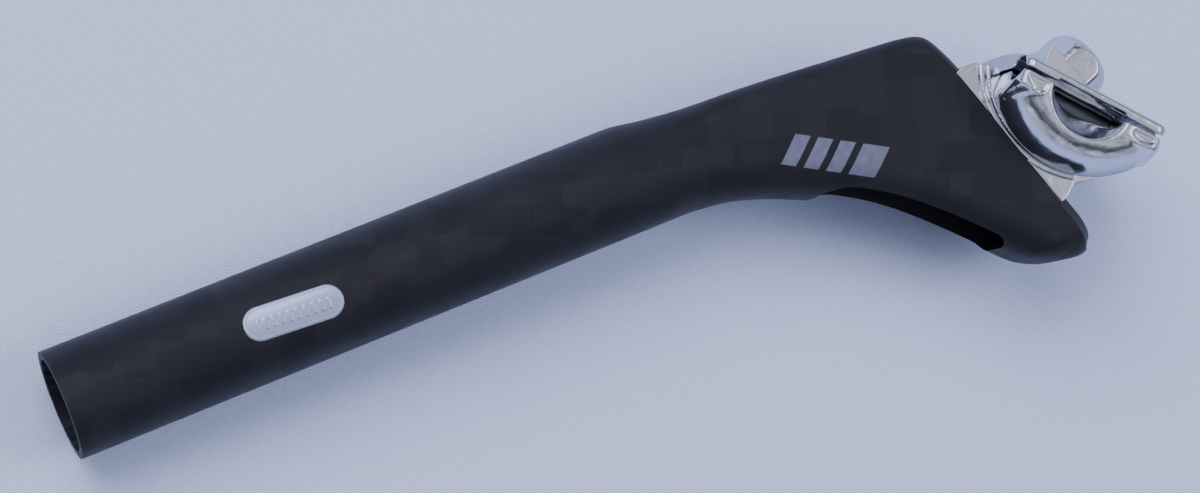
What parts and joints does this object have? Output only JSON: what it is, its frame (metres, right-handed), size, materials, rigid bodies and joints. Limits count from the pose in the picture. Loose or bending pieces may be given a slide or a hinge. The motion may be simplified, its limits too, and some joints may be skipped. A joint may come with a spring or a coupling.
{
  "type": "offset seatpost",
  "caption": "Offset carbon bicycle seatpost: round tube, deep hollow arm, slanted seat, and a single-bolt rocking clamp for two saddle rails.",
  "frame": {"origin": "centre of the tube's open insertion end", "axes": "+X up the tube to the head, +Y to the front of the bicycle, +Z across the bicycle towards the labelled side; the post lies on its side"},
  "size_m": [0.2818, 0.0783, 0.0536],
  "materials": {
    "carbon": "satin clear-coated carbon fibre, faint large-tow patches",
    "foil": "embossed matt silver foil",
    "print": "grey-lilac screen print",
    "chrome_forging": "polished forged, bright",
    "liner": "dark moulded liner",
    "steel": "zinc-plated steel"
  },
  "bodies": {
    "post": {"carbon_body": "carbon", "foil_label": "foil", "side_mark_left": "print", "side_mark_right": "print"},
    "cradle": {"cradle": "chrome_forging", "cradle_liner": "liner", "load_plate": "steel", "bolt_washer": "steel"},
    "rocker": {"rocker": "chrome_forging"},
    "bolt": {"clamp_bolt": "steel"},
    "nut": {"pivot_washer": "chrome_forging", "clamp_nut": "chrome_forging"},
    "upper_clamp": {"upper_clamp": "chrome_forging"}
  },
  "joints": [
    {"name": "setback_slide", "type": "slide", "parent": "post", "child": "cradle", "axis": [0.3289, -0.9444, 0], "range_m": [-0.003, 0.006]},
    {"name": "saddle_tilt", "type": "hinge", "parent": "cradle", "child": "rocker", "pos_m": [0.27034, -0.0171, 0], "axis": [0, 0, 1], "range_deg": [-38.5, 4.5]},
    {"name": "bolt_turn", "type": "hinge", "parent": "cradle", "child": "bolt", "pos_m": [0.27034, -0.0171, 0], "axis": [-0.9444, -0.3289, 0], "range_deg": [0, 1440]},
    {"name": "nut_climb", "type": "slide", "parent": "cradle", "child": "nut", "axis": [0.9444, 0.3289, 0], "range_m": [0, 0.005]},
    {"name": "clamp_tilt", "type": "hinge", "parent": "nut", "child": "upper_clamp", "pos_m": [0.27034, -0.0171, 0], "axis": [0, 0, 1], "range_deg": [-38.5, 4.5]}
  ],
  "couplings": [
    {"joint": "bolt_turn", "follows": "nut_climb", "rad_per_m": 5026.5},
    {"joint": "clamp_tilt", "follows": "saddle_tilt", "ratio": 1}
  ]
}
